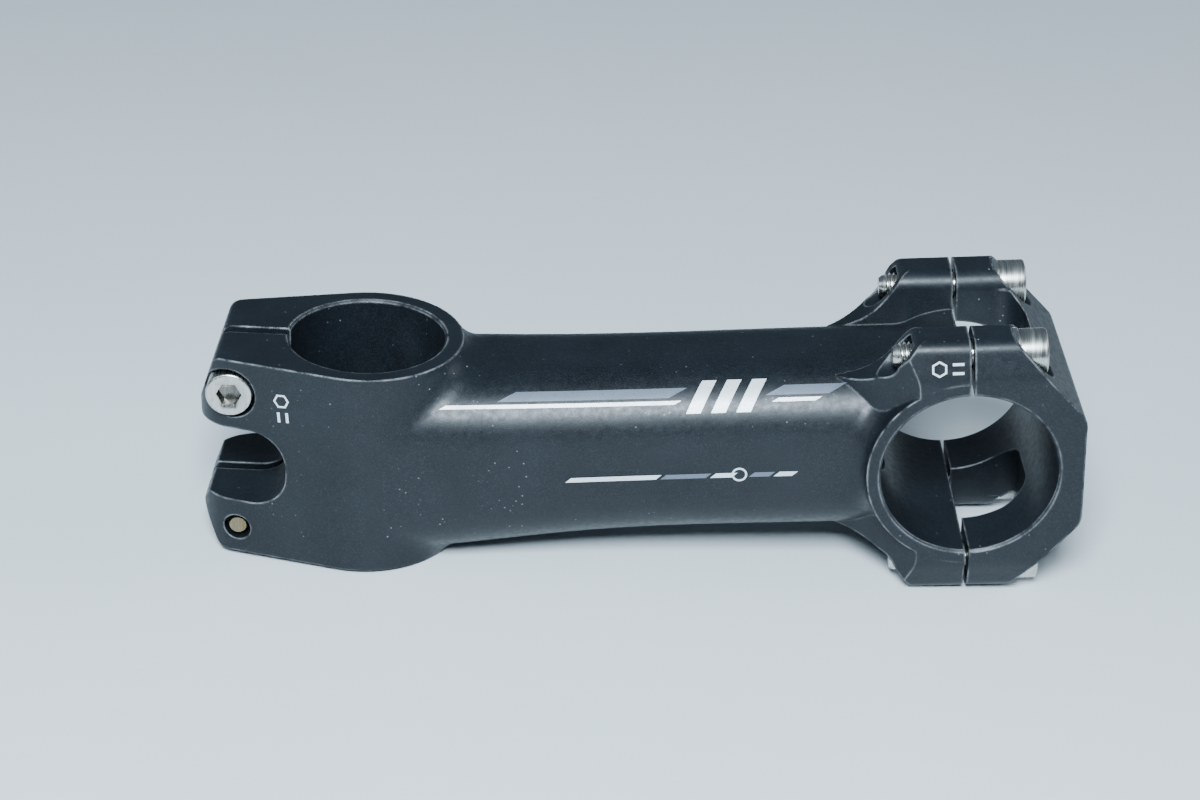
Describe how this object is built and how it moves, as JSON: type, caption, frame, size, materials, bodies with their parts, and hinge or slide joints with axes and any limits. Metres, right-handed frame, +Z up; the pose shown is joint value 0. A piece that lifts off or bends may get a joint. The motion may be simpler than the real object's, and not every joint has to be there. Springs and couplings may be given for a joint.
{
  "type": "handlebar stem",
  "caption": "Threadless bicycle stem: a split clamp for the steerer tube, a hollow forged extension and a bolted faceplate that clamps the handlebar.",
  "frame": {"origin": "on the steerer axis, in the bottom face of the steerer clamp", "axes": "+Z up along the steerer axis, +X forward to the handlebar, +Y to the rider's left"},
  "size_m": [0.1606, 0.041, 0.0547],
  "materials": {
    "painted_aluminium": "satin black, fine metallic fleck",
    "bolt_steel": "satin stainless steel",
    "washer_steel": "bright stainless steel"
  },
  "bodies": {
    "stem": {"stem_body": "painted_aluminium"},
    "faceplate": {"faceplate": "painted_aluminium"},
    "washer_upper_left": {"faceplate_washer_upper_left": "washer_steel"},
    "bolt_upper_left": {"faceplate_bolt_upper_left": "bolt_steel"},
    "washer_upper_right": {"faceplate_washer_upper_right": "washer_steel"},
    "bolt_upper_right": {"faceplate_bolt_upper_right": "bolt_steel"},
    "washer_lower_left": {"faceplate_washer_lower_left": "washer_steel"},
    "bolt_lower_left": {"faceplate_bolt_lower_left": "bolt_steel"},
    "washer_lower_right": {"faceplate_washer_lower_right": "washer_steel"},
    "bolt_lower_right": {"faceplate_bolt_lower_right": "bolt_steel"},
    "pinch_upper": {"pinch_bolt_upper": "bolt_steel"},
    "pinch_lower": {"pinch_bolt_lower": "bolt_steel"}
  },
  "joints": [
    {"name": "faceplate_lift", "type": "slide", "parent": "stem", "child": "faceplate", "axis": [0.9962, 0, 0.0872], "range_m": [0, 0.03]},
    {"name": "washer_slide_upper_left", "type": "slide", "parent": "faceplate", "child": "washer_upper_left", "axis": [0.9962, 0, 0.0872], "range_m": [0, 0.0144]},
    {"name": "bolt_turn_upper_left", "type": "hinge", "parent": "washer_upper_left", "child": "bolt_upper_left", "pos_m": [0.1151, 0.014, 0.04995], "axis": [0.9962, 0, 0.0872], "range_deg": [0, 6481]},
    {"name": "washer_slide_upper_right", "type": "slide", "parent": "faceplate", "child": "washer_upper_right", "axis": [0.9962, 0, 0.0872], "range_m": [0, 0.0144]},
    {"name": "bolt_turn_upper_right", "type": "hinge", "parent": "washer_upper_right", "child": "bolt_upper_right", "pos_m": [0.1151, -0.014, 0.04995], "axis": [0.9962, 0, 0.0872], "range_deg": [0, 6481]},
    {"name": "washer_slide_lower_left", "type": "slide", "parent": "faceplate", "child": "washer_lower_left", "axis": [0.9962, 0, 0.0872], "range_m": [0, 0.0144]},
    {"name": "bolt_turn_lower_left", "type": "hinge", "parent": "washer_lower_left", "child": "bolt_lower_left", "pos_m": [0.1188, 0.014, 0.00771], "axis": [0.9962, 0, 0.0872], "range_deg": [0, 6481]},
    {"name": "washer_slide_lower_right", "type": "slide", "parent": "faceplate", "child": "washer_lower_right", "axis": [0.9962, 0, 0.0872], "range_m": [0, 0.0144]},
    {"name": "bolt_turn_lower_right", "type": "hinge", "parent": "washer_lower_right", "child": "bolt_lower_right", "pos_m": [0.1188, -0.014, 0.00771], "axis": [0.9962, 0, 0.0872], "range_deg": [0, 6481]},
    {"name": "pinch_slide_upper", "type": "slide", "parent": "stem", "child": "pinch_upper", "axis": [0, -1, 0], "range_m": [0, 0.02]},
    {"name": "pinch_slide_lower", "type": "slide", "parent": "stem", "child": "pinch_lower", "axis": [0, 1, 0], "range_m": [0, 0.02]}
  ],
  "couplings": [
    {"joint": "bolt_turn_upper_left", "follows": "washer_slide_upper_left", "rad_per_m": 7854},
    {"joint": "bolt_turn_upper_right", "follows": "washer_slide_upper_right", "rad_per_m": 7854},
    {"joint": "bolt_turn_lower_left", "follows": "washer_slide_lower_left", "rad_per_m": 7854},
    {"joint": "bolt_turn_lower_right", "follows": "washer_slide_lower_right", "rad_per_m": 7854}
  ]
}
